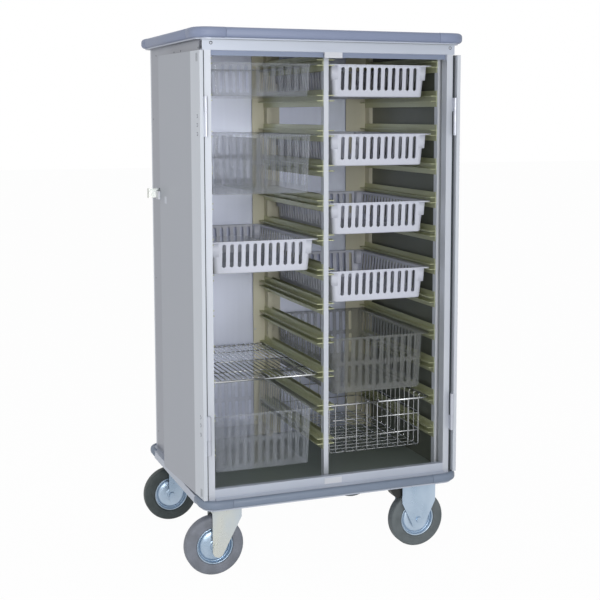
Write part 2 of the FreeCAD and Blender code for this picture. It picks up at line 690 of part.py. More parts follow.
def fixed_fork():
    x = FIXED_X
    z = WHEEL_R
    wide = BEAM_W / 2 - 2
    nose = [(27, 12), (22, 25), (12, 33)]
    line = [(x - wide, PLATE_Z), (x - wide, BASE_Z - 75)] + [(x - u, z - v) for u, v in nose]
    line += [(x, z - 36)] + [(x + u, z - v) for u, v in reversed(nose)]
    line += [(x + wide, BASE_Z - 75), (x + wide, PLATE_Z)]
    pivot = along_y(PIN_R, BRAKE_X, -FORK_IN - 1, FORK_IN + 1, BRAKE_Z)
    return caster_plate(x).fuse(cheeks(line)).fuse(pivot).fuse(axle(x)).removeSplitter()


def swivel_plate():
    low = BASE_Z - KING_DOWN
    king = Part.makeCylinder(KING_R, PLATE_Z - low, V(-CASTER_X, 0, low))
    nut = bar_z(sided(6, KING_R + NUT_OVER + 1, -CASTER_X, 0), low, low + 7)
    return caster_plate(-CASTER_X).fuse(king).fuse(nut)


def swivel_fork():
    x = -CASTER_X - TRAIL
    z = WHEEL_R
    inner = -CASTER_X + 28
    top_z = BASE_Z - CROWN_DOWN
    low_z = top_z - FORK_TOP_T
    line = [(x - 11, top_z), (x - 11, z - 20), (x - 5, z - 32), (x + 10, z - 38), (x + 22, z - 32)]
    line += [(inner, low_z - 20), (inner, top_z)]
    out = FORK_IN + CHEEK_T
    top = box(x - 11, inner, -out, out, low_z, top_z)
    crown = Part.makeCylinder(CROWN_R, PLATE_Z - 0.5 - top_z, V(-CASTER_X, 0, top_z))
    shape = top.fuse(cheeks(line)).fuse(crown)
    bore = Part.makeCylinder(KING_R + PIN_FIT, 40, V(-CASTER_X, 0, low_z - 6))
    return shape.cut(bore).fuse(axle(x)).removeSplitter()


def wheel(x):
    h = WHEEL_W / 2
    hub = FORK_IN - HUB_GAP
    edge = h - RIM_EDGE
    pocket = bar_y(sided(18, DISH_R, x, WHEEL_R), RIM_WEB / 2, h)
    rim = along_y(RIM_R, x, -edge, edge, WHEEL_R).cut([pocket, back(pocket)])
    rim = rim.fuse(bar_y(sided(18, HUB_R, x, WHEEL_R), -hub, hub))
    rim = rim.cut(along_y(AXLE_R + PIN_FIT, x, -hub, hub, WHEEL_R))
    tyre = along_y(WHEEL_R, x, -h, h, WHEEL_R).cut(along_y(RIM_R, x, -h, h, WHEEL_R))
    return rim, tyre


def moved_y(shape, y):
    out = shape.copy()
    out.translate(V(0, y, 0))
    return out


def brake_pedal():
    side = [(8, 14), (-64, 14), (-46, -20), (-30, -34), (8, -11)]
    pad = bar_y([(BRAKE_X + u, BRAKE_Z + v) for u, v in side], 8 - FORK_IN, FORK_IN - 8)
    return pad.cut(along_y(BORE_R, BRAKE_X, -30, 30, BRAKE_Z))


def casters():
    at = {"front": -CASTER_Y, "rear": CASTER_Y}
    save("fixed_caster_forks", [moved_y(fixed_fork(), y) for y in at.values()])
    save("swivel_caster_plates", [moved_y(swivel_plate(), y) for y in at.values()])
    for name, y in at.items():
        save(name + "_swivel_fork", [moved_y(swivel_fork(), y)])
        save(name + "_brake_pedal", [moved_y(brake_pedal(), y)])
        for kind, x in (("swivel", -CASTER_X - TRAIL), ("fixed", FIXED_X)):
            disc, tread = wheel(x)
            save(name + "_" + kind + "_wheel_rim", [moved_y(disc, y)])
            save(name + "_" + kind + "_tyre", [moved_y(tread, y)])


base_tray()
bumpers("base_bumper", HALF_W + TRAY_OUT_X, HALF_D + TRAY_OUT_Y,
        BASE_Z + BUMPER_UP, TRAY_Z + BUMPER_OVER, False)
bumpers("top_bumper", HALF_W + ROOF_OUT_X, HALF_D + ROOF_OUT_Y,
        ROOF_Z + TOP_BUMPER_UP, TOP_Z + TOP_BUMPER_OVER, True)
floor_panel()
front_sill()
front_uprights()
rear_corner_posts()
header_rail()
side_panels()
rear_panel()
roof()
front_posts()
rear_posts()
runners()
hinges()
doors()
lock()
door_catches()
door_keepers()
baskets()
dividers()
wire_shelf()
wire_basket()
casters()
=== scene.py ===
# %% [markdown]
# The cart's solid parts come from CAD as named nodes with their places and joints. Blender adds
# what a solid model does not carry: thin mouldings, bent wire, small edge radii, finishes, light
# and a camera. The parts could be modelled again here, but two models would then have to be kept
# in step. So the places and sizes come from the frame, and each new piece rides on the body that
# it belongs to.

# %% Load the frame
import math
import bmesh
import bpy
from mathutils import Matrix, Vector


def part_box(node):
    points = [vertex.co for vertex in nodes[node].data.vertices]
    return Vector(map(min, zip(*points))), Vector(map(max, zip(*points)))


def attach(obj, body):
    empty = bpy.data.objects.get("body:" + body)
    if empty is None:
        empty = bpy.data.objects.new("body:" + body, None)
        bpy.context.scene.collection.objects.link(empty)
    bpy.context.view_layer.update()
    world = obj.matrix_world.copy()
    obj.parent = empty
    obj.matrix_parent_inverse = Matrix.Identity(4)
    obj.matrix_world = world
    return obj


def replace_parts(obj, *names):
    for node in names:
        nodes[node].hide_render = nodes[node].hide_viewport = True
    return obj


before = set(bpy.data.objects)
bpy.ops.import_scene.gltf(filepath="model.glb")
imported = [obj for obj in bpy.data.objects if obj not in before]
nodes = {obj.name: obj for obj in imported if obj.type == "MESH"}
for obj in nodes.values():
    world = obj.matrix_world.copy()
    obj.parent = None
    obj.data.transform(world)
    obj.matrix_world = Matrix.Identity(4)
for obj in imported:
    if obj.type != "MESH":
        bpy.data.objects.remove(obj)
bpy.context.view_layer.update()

MM = 0.001
scene = bpy.context.scene

# %% [markdown]
# The camera stands where the photograph was taken, in front and to the left, a little below the
# cart's top. The photograph's verticals are parallel, as with a view camera. A level camera would
# need a large shift, which would cut the top off in the other views, so this one looks down a few
# degrees and keeps a small shift.

# %% Camera
CAM_AT = Vector((-1.4691, -4.0140, 1.5296))
CAM_YAW = 0.37525
CAM_PITCH = 0.10996
CAM_FOCAL_PX = 1189.25
CAM_SHIFT = (-0.04227, -0.09)
FRAME_PX = 600.0
SENSOR_MM = 36.0

cam_data = bpy.data.cameras.new("camera")
cam_data.sensor_width = SENSOR_MM
cam_data.lens = CAM_FOCAL_PX / FRAME_PX * SENSOR_MM
cam_data.shift_x, cam_data.shift_y = CAM_SHIFT
cam = bpy.data.objects.new("camera", cam_data)
scene.collection.objects.link(cam)
cam.location = CAM_AT
cam.rotation_euler = (math.pi / 2 - CAM_PITCH, 0.0, -CAM_YAW)
scene.camera = cam
print("camera", tuple(cam.location), "lens", round(cam_data.lens, 1), "mm")

# %% [markdown]
# Shader maths reads as a formula here: Sock wraps one socket, and an operator on it adds a Math
# node. Every other node comes from Graph.add, which takes its type, its settings, and a value or
# a link for each socket. Nodes could be laid out by hand in the editor, but a formula can be
# read, changed and used again for the next finish.


# %% Node tools
class Sock:
    def __init__(self, graph, out):
        self.graph = graph
        self.out = out

    def maths(self, kind, a, b):
        return self.graph.add("ShaderNodeMath", {"operation": kind}, {0: a, 1: b})

    def __add__(self, other):
        return self.maths("ADD", self, other)

    def __mul__(self, other):
        return self.maths("MULTIPLY", self, other)

    def __sub__(self, other):
        return self.maths("SUBTRACT", self, other)

    def __rsub__(self, other):
        return self.maths("SUBTRACT", other, self)

    __radd__ = __add__
    __rmul__ = __mul__

    def size(self):
        return self.maths("ABSOLUTE", self, 0)

    def larger(self, other):
        return self.maths("MAXIMUM", self, other)

    def above(self, edge, width):
        held = {"Value": self, "From Min": edge - width, "From Max": edge + width}
        return self.graph.add("ShaderNodeMapRange", {"interpolation_type": "SMOOTHSTEP"}, held)


class Graph:
    """A node tree that nodes are added to one way."""

    def __init__(self, tree):
        self.tree = tree

    def add(self, kind, settings, sockets, output=0):
        node = self.tree.nodes.new(kind)
        for name, value in settings.items():
            setattr(node, name, value)
        for name, value in sockets.items():
            if isinstance(value, Sock):
                self.tree.links.new(value.out, node.inputs[name])
            else:
                node.inputs[name].default_value = value
        return Sock(self, node.outputs[output]) if len(node.outputs) else None

    def seen_rays(self):
        # 1 for camera, glossy and transmission rays, 0 for the rays that carry light
        path = self.add("ShaderNodeLightPath", {}, {}, "Is Camera Ray")
        mirror = Sock(self, path.out.node.outputs["Is Glossy Ray"])
        through = Sock(self, path.out.node.outputs["Is Transmission Ray"])
        return path.larger(mirror).larger(through)


# %% [markdown]
# The cart was photographed in a white studio. Here the sky has two strengths: white where the
# camera, a reflection or clear plastic looks at it, and moderate where it gives light. One
# strength for both would either grey the background or wash out the pale metal.

# %% Sky
scene.view_settings.view_transform = "Standard"
SKY_TINT = (0.93, 0.96, 1.0, 1)
SKY_LIGHT = 0.32

world = bpy.data.worlds.new("studio")
scene.world = world
world.use_nodes = True
sky = Graph(world.node_tree)
sky.tree.nodes.clear()
soft = sky.add("ShaderNodeBackground", {}, {"Color": SKY_TINT, "Strength": SKY_LIGHT})
white = sky.add("ShaderNodeBackground", {}, {"Color": (1, 1, 1, 1), "Strength": 1.0})
mixed = sky.add("ShaderNodeMixShader", {}, {0: sky.seen_rays(), 1: soft, 2: white})
sky.add("ShaderNodeOutputWorld", {}, {"Surface": mixed})
print("sky nodes", len(sky.tree.nodes))

# %% [markdown]
# Four large area lamps give soft light. The key stands in front, a little to the left, and reaches
# the back of the shelves. A sun lamp would be quicker to place, but its parallel light leaves a
# hard edge inside an open cabinet.


# %% Lamps
def lamp(name, at, aim, size, power):
    data = bpy.data.lights.new(name, "AREA")
    data.shape = "SQUARE"
    data.size = size
    data.energy = power
    obj = bpy.data.objects.new(name, data)
    obj.location = at
    obj.rotation_euler = (Vector(aim) - Vector(at)).to_track_quat("-Z", "Y").to_euler()
    scene.collection.objects.link(obj)
    return obj


MIDDLE = (0, 0, 1.0)
lamp("key", (-0.7, -4.6, 1.6), MIDDLE, size=1.6, power=80)
lamp("near left", (-1.5, -2.3, 1.5), (-0.3, -0.35, 1.1), size=1.0, power=8)
lamp("side", (-4.4, 0.4, 1.9), (-0.3, 0, 0.8), size=2.4, power=27)
lamp("top", (0.0, -0.4, 4.6), MIDDLE, size=2.0, power=15)

# %% [markdown]
# A finish is a Principled material fed by a few textures. Each texture reads Object coordinates,
# so its pattern has the same scale on a small rivet and on a tall panel. Painting by hand would
# give nothing better here, because these are plain sheets and mouldings.


# %% Material tools
def srgb(r, g, b):
    def lin(v):
        v = v / 255
        return v / 12.92 if v <= 0.04045 else ((v + 0.055) / 1.055) ** 2.4
    return (lin(r), lin(g), lin(b), 1.0)


class Mat(Graph):
    """A Principled material and the few textures that every finish here is made from."""

    def __init__(self, name, rough, metallic=0.0, coat=0.0):
        self.mat = bpy.data.materials.new(name)
        self.mat.use_nodes = True
        super().__init__(self.mat.node_tree)
        self.bsdf = self.tree.nodes["Principled BSDF"]
        self.bsdf.inputs["Roughness"].default_value = rough
        self.bsdf.inputs["Metallic"].default_value = metallic
        self.bsdf.inputs["Coat Weight"].default_value = coat
        self.place = self.add("ShaderNodeTexCoord", {}, {}, "Object")

    def noise(self, scale, stretch=(1, 1, 1), detail=3.0):
        place = self.add("ShaderNodeMapping", {}, {"Vector": self.place, "Scale": stretch})
        held = {"Vector": place, "Scale": scale, "Detail": detail}
        return self.add("ShaderNodeTexNoise", {}, held, "Fac")

    def cells(self, scale):
        tint = self.add("ShaderNodeTexVoronoi", {}, {"Vector": self.place, "Scale": scale}, "Color")
        return self.add("ShaderNodeSeparateColor", {}, {0: tint})

    def facing(self):
        return self.add("ShaderNodeLayerWeight", {}, {"Blend": 0.4}, "Facing")

    def axis(self, letter):
        return self.add("ShaderNodeSeparateXYZ", {}, {0: self.place}, letter)

    def mixed(self, low, high, factor):
        held = {"Factor": factor, "A": low, "B": high}
        return self.add("ShaderNodeMix", {"data_type": "RGBA"}, held, "Result")

    def colour(self, tone):
        self.drive("Base Color", tone)

    def drive(self, socket, tone):
        self.tree.links.new(tone.out, self.bsdf.inputs[socket])

    def bump(self, height, depth_mm, strength=0.5):
        held = {"Strength": strength, "Distance": depth_mm * MM, "Height": height}
        self.drive("Normal", self.add("ShaderNodeBump", {}, held))


print("mid grey as light", round(srgb(128, 128, 128)[0], 3))

# %% [markdown]
# The cabinet is anodised aluminium profile and painted sheet. Both have fine streaks along the
# way they were drawn or rolled, and faint clouds where they were handled. A stretched noise gives
# the streaks. The side walls, the ceiling and the header take a darker tone inside or below than
# outside, as painted shade for the inside of the cabinet, so their finish changes at a plane, which
# keeps each of them one solid.


# %% Sheet and profile finishes
def sheet(name, tone, rough, metallic, grain):
    # tone(m, wear) gives the colour, from the material and its wear from 0 to 1. The last number
    # of the roughness takes off the mean of the streaks and clouds.
    m = Mat(name, rough, metallic)
    streak = m.noise(60, grain, detail=4)
    cloud = m.noise(5, (1, 1, 1), detail=2)
    m.colour(tone(m, 0.45 * streak + 0.55 * cloud))
    m.drive("Roughness", 0.12 * streak + 0.14 * cloud + (rough - 0.13))
    m.bump(streak, depth_mm=0.15, strength=0.25)
    return m.mat


def metal(name, low, high, rough, metallic, grain):
    return sheet(name, lambda m, wear: m.mixed(low, high, wear), rough, metallic, grain)


def shaded_inside(name, inner, outer, letter, edge, rough, metallic, grain):
    # One pair of tones on each side of a plane, edge metres out along the named axis; the inner pair
    # is painted shade
    def tone(m, wear):
        side = m.axis(letter).size().above(edge, 0.0006)
        return m.mixed(m.mixed(*inner, wear), m.mixed(*outer, wear), side)
    return sheet(name, tone, rough, metallic, grain)


# %% [markdown]
# The bumpers and the white baskets are moulded, with a fine texture from the tool. The clear
# baskets are thin plastic that reads grey along its edges, where one looks through more of it.
# Real transmission would be truer, but many thin walls behind each other need long renders, so
# the clear finish is an alpha that rises where the surface turns away, and its colour turns lighter
# there as a painted sheen.


# %% Plastic finishes


def plastic(name, low, high, rough, coat=0.0, pebble=900):
    # Moulded plastic: a fine texture and faint flow clouds
    m = Mat(name, rough, 0.0, coat)
    grain = m.noise(pebble, (1, 1, 1), 2)
    cloud = m.noise(7, (1, 1, 1), detail=2)
    m.colour(m.mixed(low, high, cloud))
    m.drive("Roughness", 0.1 * grain + 0.1 * cloud + (rough - 0.1))
    m.bump(grain, depth_mm=0.08, strength=0.3)
    return m.mat


def clear(name, low, high, alpha):
    # Clear plastic that has greyed a little in use, more so in faint clouds, and lighter where the
    # surface turns away, a painted sheen
    m = Mat(name, 0.12, 0.0, 0.6)
    cloud = m.noise(9, (1, 1, 1), detail=3)
    rim = m.facing()
    # rim is the facing weight: where the surface turns away the colour turns lighter, painted sheen
    m.colour(m.mixed(low, high, 0.8 * rim + 0.2 * cloud))
    m.drive("Alpha", 0.55 * rim * rim + 0.08 * cloud + (alpha - 0.04))
    m.bump(m.noise(60, (1, 1, 0.3), detail=2), depth_mm=0.2, strength=0.2)
    return m.mat


# %% [markdown]
# The casters are zinc-plated pressed steel on grey rubber tyres. Zinc has broad clouds and small
# crystals that show mostly in its gloss. Rubber carries dust in patches. A cell texture makes the
# crystals and a sharpened noise makes the dust.


# %% Zinc and rubber finishes
def zinc(name, low, high):
    # Zinc-plated pressed steel: broad clouds in tone, fine spangles in gloss
    m = Mat(name, 0.34, 0.75)
    spangle = m.cells(170)
    cloud = m.noise(11, (1, 1, 0.5), detail=2)
    m.colour(m.mixed(low, high, 0.92 * cloud.above(0.5, 0.25) + 0.08 * spangle))
    m.drive("Roughness", 0.14 * spangle + 0.14 * cloud + 0.2)
    m.bump(cloud, depth_mm=0.3, strength=0.2)
    return m.mat


def rubber(name, low, high):
    # Grey tyre rubber with a dusty bloom and a few scuffs
    m = Mat(name, 0.62)
    dust = m.noise(22, (1, 1, 1), detail=5)
    fine = m.noise(700, (1, 1, 1), detail=2)
    m.colour(m.mixed(low, high, dust.above(0.5, 0.22)))
    m.drive("Roughness", 0.2 * dust + 0.5)
    m.bump(0.5 * fine + 0.5 * dust, depth_mm=0.25, strength=0.35)
    return m.mat


print("helpers for", [f.__name__ for f in (metal, shaded_inside, plastic, clear, zinc, rubber)])

# %% [markdown]
# Each named finish gets two close tones and a gloss, chosen against the photograph. A part
# takes its finish by name.

# %% Materials
UP = (1, 1, 0.03)
ALONG_X = (0.03, 1, 1)
ALONG_Y = (1, 0.03, 1)
# The header below STRIP_TOP, and the walls and ceiling inside WALL_MIDDLE, take darker tones as
# painted shade
STRIP_TOP = 1.7322
WALL_MIDDLE = 0.437
# Metals: two tones, roughness, metallic, grain. Plastics: two tones, roughness, coat
mats = {
    "profile": metal("anodised_profile", srgb(190, 195, 204), srgb(206, 210, 218), 0.42, 0.25, UP),
    "profile_x": metal("anodised_profile_x", srgb(176, 183, 196), srgb(194, 200, 212), 0.42, 0.25,
                       ALONG_X),
    "stile": metal("door_stile", srgb(196, 201, 209), srgb(207, 212, 219), 0.42, 0.2, UP),
    # First pair: painted shade inside or below the plane; second pair: the sheet's own tones outside
    "header": shaded_inside("header_rail", (srgb(120, 130, 152), srgb(132, 142, 164)),
                        (srgb(178, 185, 198), srgb(194, 200, 212)), "Z", STRIP_TOP, 0.42, 0.3,
                        ALONG_X),
    "wall": shaded_inside("wall_sheet", (srgb(96, 100, 90), srgb(112, 117, 106)),
                      (srgb(150, 153, 162), srgb(162, 165, 174)), "X", WALL_MIDDLE, 0.45, 0.3, UP),
    "rear": metal("rear_sheet", srgb(200, 206, 226), srgb(216, 221, 240), 0.36, 0.6, UP),
    "floor": metal("floor_sheet", srgb(122, 132, 126), srgb(140, 150, 144), 0.5, 0.3, ALONG_X),
    "door": metal("door_sheet", srgb(160, 164, 172), srgb(172, 176, 184), 0.45, 0.25, UP),
    "runner": metal("runner_metal", srgb(168, 172, 136), srgb(190, 193, 160), 0.36, 0.45, ALONG_Y),
    "rear_post": metal("rear_post_metal", srgb(196, 193, 172), srgb(212, 209, 190), 0.45, 0.25, UP),
    "hinge": metal("hinge_metal", srgb(180, 184, 194), srgb(197, 201, 211), 0.36, 0.4, UP),
    "base_bumper": plastic("base_bumper", srgb(118, 130, 148), srgb(128, 140, 158), 0.5),
    "top_bumper": plastic("top_bumper", srgb(128, 138, 164), srgb(138, 148, 174), 0.5),
    "white": plastic("white_plastic", srgb(204, 207, 214), srgb(216, 218, 224), 0.4, 0.1),
    "basket": plastic("white_basket", srgb(200, 203, 215), srgb(212, 215, 226), 0.42, 0.1),
    "clear": clear("clear_basket", srgb(196, 203, 214), srgb(240, 244, 250), 0.08),
    "smoke": clear("smoke_basket", srgb(100, 102, 98), srgb(206, 210, 208), 0.26),
    "wire": metal("bright_wire", srgb(176, 178, 180), srgb(206, 208, 210), 0.25, 0.9, UP),
    "zinc": zinc("zinc_steel", srgb(156, 176, 196), srgb(188, 204, 220)),
    "zinc_warm": zinc("zinc_steel_warm", srgb(206, 208, 200), srgb(188, 198, 206)),
    "tyre": rubber("tyre_rubber", srgb(90, 97, 99), srgb(108, 115, 117)),
    "tyre_light": rubber("tyre_rubber_light", srgb(112, 116, 124), srgb(130, 134, 144)),
    "tyre_dark": rubber("tyre_rubber_dark", srgb(54, 62, 62), srgb(72, 80, 80)),
    "black": plastic("black_plastic", srgb(22, 24, 23), srgb(36, 38, 37), 0.5),
    "gap": plastic("dark_gap", srgb(34, 42, 48), srgb(44, 52, 58), 0.6),
}

# %% [markdown]
# Pieces are drawn in millimetres in the cart's own frame and scaled once, when they become
# objects, so each object stays at the origin and its finish does not slide. A helper is a short
# chain of bmesh operators. The same could be done in edit mode, but here a size can be changed.


# %% Piece helpers
def piece(name, bm, look, body, smooth=True):
    bmesh.ops.scale(bm, vec=(MM, MM, MM), verts=bm.verts)
    mesh = bpy.data.meshes.new(name)
    bm.to_mesh(mesh)
    bm.free()
    for p in mesh.polygons:
        p.use_smooth = smooth
    obj = bpy.data.objects.new(name, mesh)
    scene.collection.objects.link(obj)
    mesh.materials.append(mats[look])
    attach(obj, body)
    return obj


def soften(obj, width_mm, segments=2, angle=35):
    mod = obj.modifiers.new("edge", "BEVEL")
    mod.width = width_mm * MM
    mod.segments = segments
    mod.limit_method = "ANGLE"
    mod.angle_limit = math.radians(angle)
    mod.harden_normals = False


def box_mm(name):
    return [Vector(p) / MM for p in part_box(name)]


print("frame nodes can be measured, such as", [round(c) for c in box_mm("roof_panel")[1]])


# %% Shape helpers
def add_box(bm, low, high):
    low, high = Vector(low), Vector(high)
    made = bmesh.ops.create_cube(bm, size=1.0)["verts"]
    bmesh.ops.scale(bm, vec=high - low, verts=made)
    bmesh.ops.translate(bm, vec=(low + high) / 2, verts=made)


def verts_of(made):
    return [g for g in made if isinstance(g, bmesh.types.BMVert)]


def edges_of(made):
    return [g for g in made if isinstance(g, bmesh.types.BMEdge)]


def faces_of(made):
    return [g for g in made if isinstance(g, bmesh.types.BMFace)]


def turned(bm, line, centre, axis, steps):
    # Spins a closed line of (radius, along) points once about an axis through centre
    axis = Vector(axis)
    out = axis.orthogonal().normalized()
    verts = [bm.verts.new(centre + out * r + axis * t) for r, t in line]
    edges = [bm.edges.new((a, b)) for a, b in zip(verts, verts[1:] + verts[:1])]
    bmesh.ops.spin(bm, geom=verts + edges, cent=centre, axis=axis, angle=2 * math.pi, steps=steps,
                   use_merge=True)
    bmesh.ops.remove_doubles(bm, verts=bm.verts, dist=1e-4)
    bmesh.ops.recalc_face_normals(bm, faces=bm.faces)


def screw_head(bm, at, along, radius, height):
    # A flattened ball, half sunk in the sheet
    along = Vector(along).normalized()
    place = Matrix.Translation(at) @ along.to_track_quat("Z", "Y").to_matrix().to_4x4()
    place = place @ Matrix.Diagonal((radius, radius, height, 1.0))
    bmesh.ops.create_uvsphere(bm, u_segments=16, v_segments=8, radius=1.0, matrix=place)


def arc(cx, cy, r, a0, a1, steps):
    turn = [math.radians(a0 + (a1 - a0) * i / steps) for i in range(steps + 1)]
    return [(cx + r * math.cos(a), cy + r * math.sin(a)) for a in turn]


print("quarter circle", [(round(x), round(y)) for x, y in arc(0, 0, 10, 0, 90, 2)])

# %% [markdown]
# Most of the cart is flat or folded sheet, which the CAD solids already show well. They get a
# finish and a small edge radius from a Bevel modifier, because a real edge is never sharp and its
# radius is what catches the light. Their meshes are left alone.

# %% Finish the CAD nodes
LOOKS = {
    "profile": ["front_uprights", "front_posts", "rear_corner_posts"],
    "stile": ["left_door_stile", "right_door_stile"],
    "profile_x": ["base_tray", "front_sill", "roof_panel"],
    "header": ["header_rail"],
    "wall": ["side_panels", "ceiling_panel"],
    "rear": ["rear_panel"],
    "floor": ["floor_panel"],
    "door": ["left_door_panel", "right_door_panel"],
    "runner": ["centre_runners", "wall_runners"],
    "rear_post": ["rear_posts"],
    "hinge": ["body_hinge_leaves", "hinge_pins", "left_door_hinge_leaves",
              "right_door_hinge_leaves", "lock_barrel", "lock_knob"],
    "white": ["door_catch_pads", "door_keepers", "left_door_end_caps", "right_door_end_caps"],
    "clear": ["left_basket_2_divider", "left_basket_3_dividers"],
    "zinc": ["fixed_caster_forks", "swivel_caster_plates", "rear_swivel_fork"],
    "zinc_warm": ["front_swivel_fork", "door_catch_brackets"],
    "black": ["front_brake_pedal", "rear_brake_pedal"],
}
# Edge radius in millimetres
SOFT = {
    "left_door_stile": 1.5, "right_door_stile": 1.5, "left_door_panel": 1.0, "right_door_panel": 1.0,
    "front_uprights": 1.2, "front_sill": 0.6, "header_rail": 0.8, "rear_corner_posts": 0.8,
    "front_posts": 0.8, "rear_posts": 0.8, "centre_runners": 0.5, "wall_runners": 0.5,
    "door_keepers": 1.0, "door_catch_pads": 2.0, "door_catch_brackets": 0.8,
    "front_brake_pedal": 3.0, "rear_brake_pedal": 3.0,
}
for look, names in LOOKS.items():
    for name in names:
        node = nodes[name]
        for held in node.material_slots:
            held.material = mats[look]
        if name in SOFT:
            soften(node, SOFT[name])
print("finished", sum(len(v) for v in LOOKS.values()), "CAD nodes")

# %% [markdown]
# The bumpers are a soft plastic profile pushed into the tray's edge: straight lengths with a
# moulded corner between them, and a fine seam at each joint. One round-nosed section is spun a
# quarter turn for a corner, and its two ends are extruded as the corner's legs. A curve with a
# profile would sweep it too, but it would hide the seams.

# %% Bumper section
BUMPER_OUT = 14.0
BUMPER_NOSE = 12.5
BUMPER_LEG = 105.0
CORNER_R = 46.0
SEAM = 0.8              # between a corner's leg and a straight length
UNDER = 0.5             # a straight length is lower than a corner, top and bottom


def nose_section(bm, at, out, z0, z1, thick, nose):
    # The section's face: flat at the back, round-nosed in front
    line = [(0.0, z0 + 1.5)] + arc(thick - nose, z0 + nose, nose, -90, 0, 6)
    line += arc(thick - nose, z1 - nose, nose, 0, 90, 6) + [(0.0, z1 - 1.5)]
    ring = [bm.verts.new((at[0] + out[0] * o, at[1] + out[1] * o, z)) for o, z in line]
    return bm.faces.new(ring)


def pull(bm, face, way):
    made = bmesh.ops.extrude_face_region(bm, geom=[face])["geom"]
    bmesh.ops.translate(bm, vec=way, verts=verts_of(made))
    bmesh.ops.delete(bm, geom=[face], context="FACES_ONLY")
    return faces_of(made)[0]


print("bumper section", BUMPER_OUT, "mm thick, nose radius", BUMPER_NOSE)


# %% Bumper corners and lengths
def bumper_corner(bm, hx, hy, z0, z1, leg_x, leg_y):
    # Drawn at +x +y: the leg along x, the quarter turn, the leg along y
    turn_at = Vector((hx - CORNER_R, hy - CORNER_R, 0))
    start = nose_section(bm, (leg_x, hy), (0, 1), z0, z1, BUMPER_OUT, BUMPER_NOSE)
    bmesh.ops.reverse_faces(bm, faces=[start])
    made = bmesh.ops.extrude_face_region(bm, geom=[start])["geom"]
    bmesh.ops.translate(bm, vec=(hx - CORNER_R - leg_x, 0, 0), verts=verts_of(made))
    end = faces_of(made)
    spun = bmesh.ops.spin(bm, geom=end, cent=turn_at, axis=(0, 0, 1), angle=-math.pi / 2, steps=12)
    bmesh.ops.delete(bm, geom=end, context="FACES_ONLY")
    pull(bm, faces_of(spun["geom_last"])[0], (0, leg_y - (hy - CORNER_R), 0))


def bumper_set(name, look, sides):
    low, high = box_mm(name + "_corners")
    hx, hy = high.x - BUMPER_OUT, high.y - BUMPER_OUT
    bm = bmesh.new()
    for sx in (-1, 1):
        for sy in (-1, 1):
            one = bmesh.new()
            bumper_corner(one, hx, hy, low.z, high.z, high.x - BUMPER_LEG, high.y - BUMPER_LEG)
            bmesh.ops.scale(one, vec=(sx, sy, 1), verts=one.verts)
            mesh = bpy.data.meshes.new("corner")
            one.to_mesh(mesh)
            bm.from_mesh(mesh)
            one.free()
            bpy.data.meshes.remove(mesh)
    bmesh.ops.recalc_face_normals(bm, faces=bm.faces)
    corners = piece(name + "_corner_mouldings", bm, look, "cart_body")
    soften(corners, 0.7, 2, 60)
    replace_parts(corners, name + "_corners")
    z0, z1 = low.z + UNDER, high.z - UNDER
    long_x, long_y = high.x - BUMPER_LEG - SEAM, high.y - BUMPER_LEG - SEAM
    thick, nose = BUMPER_OUT - 0.6, BUMPER_NOSE - 0.5
    runs = [((-long_x, s * hy), (0, s), (2 * long_x, 0, 0)) for s in (-1, 1)]
    if sides:
        runs += [((s * hx, -long_y), (s, 0), (0, 2 * long_y, 0)) for s in (-1, 1)]
    bm = bmesh.new()
    for start, out, way in runs:
        face = nose_section(bm, start, out, z0, z1, thick, nose)
        made = bmesh.ops.extrude_face_region(bm, geom=[face])["geom"]
        bmesh.ops.translate(bm, vec=way, verts=verts_of(made))
    bmesh.ops.recalc_face_normals(bm, faces=bm.faces)
    lengths = piece(name + "_straight_lengths", bm, look, "cart_body")
    soften(lengths, 0.7, 2, 60)
    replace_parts(lengths, name + "_strips")
    print(name, "corners", len(corners.data.polygons), "faces, lengths", len(lengths.data.polygons))


bumper_set("base_bumper", "base_bumper", False)
bumper_set("top_bumper", "top_bumper", True)

# %% [markdown]
# Each basket is one moulded sheet: a tapered tub with round-ended slots, a rounded foot, and a
# flange with a short turned-down lip. The slots could be cut with a Boolean, but over a hundred
# cuts in a basket are slow and leave ragged faces. So a slot is a loop drawn in a wall's plane,
# and triangle_fill fills the wall round its loops. A Solidify modifier gives the sheet its
# thickness at the end.

# %% Basket walls
RIM_X, RIM_Y = 200.0, 300.0         # half the rim
IN_SIDE, IN_END = 25.0, 8.0         # the tub in from the rim
DRAFT = 8.0                         # the tub in at its foot, each side
RIM_DOWN = 5.0                      # the wall's top under the rim
TUB_CORNER = 16.0
FOOT_CORNER = 5.5
SHEET = 2.5
SLOT = 13.0
PITCH = 27.0
END_SLOTS, SIDE_SLOTS = 11, 19
SLOT_FOOT, SLOT_TOP, SLOT_BAND = 22, 9, 14
ARC_POINTS = 16


def spread(verts, dx, dy, dz=0.0):
    # Moves each quarter of a ring outwards, which keeps its corner radius
    for v in verts:
        v.co += Vector((dx if v.co.x > 0 else -dx, dy if v.co.y > 0 else -dy, dz))


def grow(bm, edges, dx, dy, dz):
    made = bmesh.ops.extrude_edge_only(bm, edges=edges)["geom"]
    spread(verts_of(made), dx, dy, dz)
    return edges_of(made)


def slot_loop(bm, middle, across, up, length):
    # A circle whose two halves are moved apart along the wall
    place = Matrix((across, up, across.cross(up))).transposed().to_4x4()
    half_step = math.pi / ARC_POINTS
    place = Matrix.Translation(middle) @ place @ Matrix.Rotation(half_step, 4, "Z")
    radius = SLOT / 2 / math.cos(half_step)
    made = bmesh.ops.create_circle(bm, cap_ends=False, radius=radius, segments=ARC_POINTS,
                                   matrix=place)["verts"]
    for v in made:
        v.co += up * math.copysign((length - SLOT) / 2, (v.co - middle).dot(up))
    return {e for v in made for e in v.link_edges}


